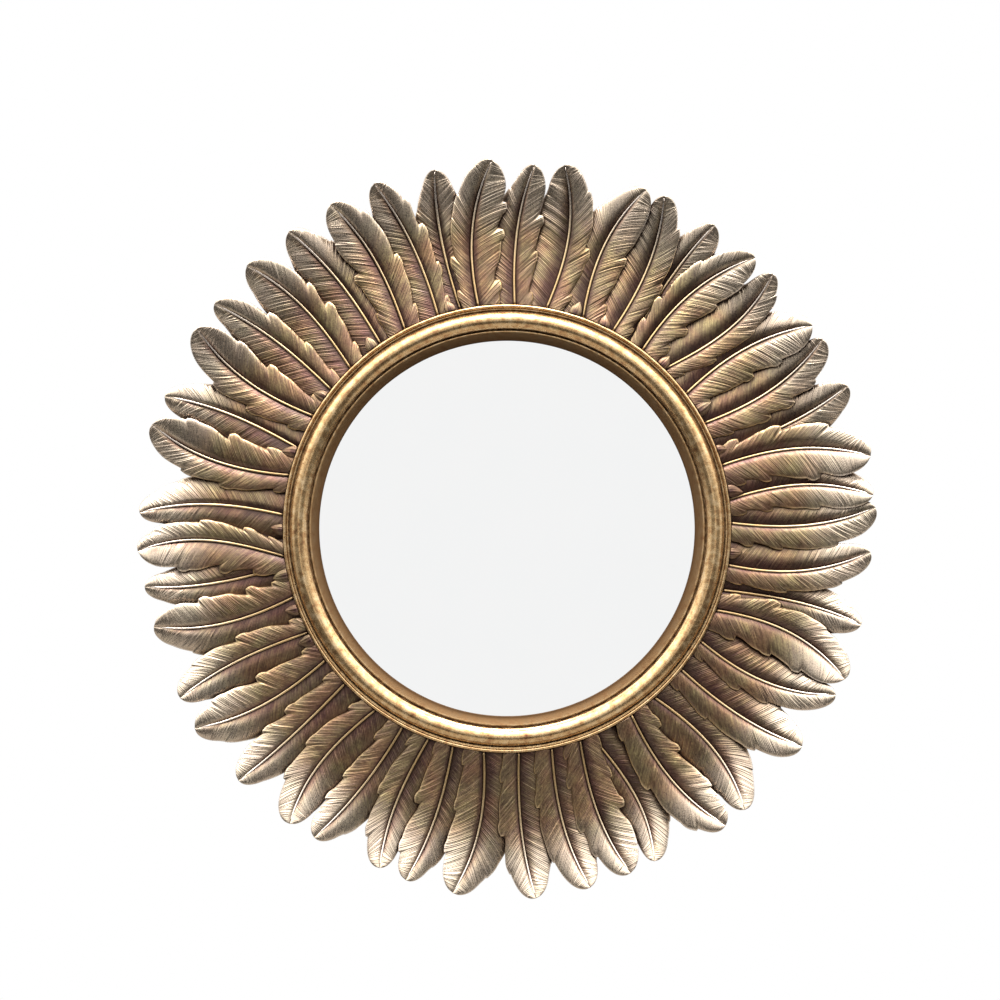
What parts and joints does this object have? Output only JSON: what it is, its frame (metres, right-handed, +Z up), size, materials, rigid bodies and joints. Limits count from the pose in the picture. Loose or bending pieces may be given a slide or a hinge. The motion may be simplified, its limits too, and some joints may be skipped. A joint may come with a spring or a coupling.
{
  "type": "wall mirror",
  "caption": "Round wall mirror in a turned antique gold ring, framed by a wreath of overlapping bronzed and gilded feathers, hung flat on a wall.",
  "frame": {"origin": "on the mirror's axis, in the back face of the backing board, where the mirror lies against the wall", "axes": "+Z up, +Y into the wall, so the mirror faces -Y, and +X to the right as seen from the front"},
  "size_m": [0.898, 0.0398, 0.8987],
  "materials": {
    "bronzed_resin": "cast resin, bronzed dark in the hollows and rubbed with gold and silver on the high parts",
    "antique_gold": "cast resin, gilded antique gold, rubbed through to red brown in spots",
    "silvered_glass": "polished",
    "painted_fibreboard": "matt black paint",
    "zinc_plated_steel": "bright zinc"
  },
  "bodies": {
    "root": {"feather_wreath": "bronzed_resin", "ring_moulding": "antique_gold", "mirror_glass": "silvered_glass", "backing_board": "painted_fibreboard", "keyhole_plate_left": "zinc_plated_steel", "keyhole_plate_right": "zinc_plated_steel"}
  },
  "joints": []
}
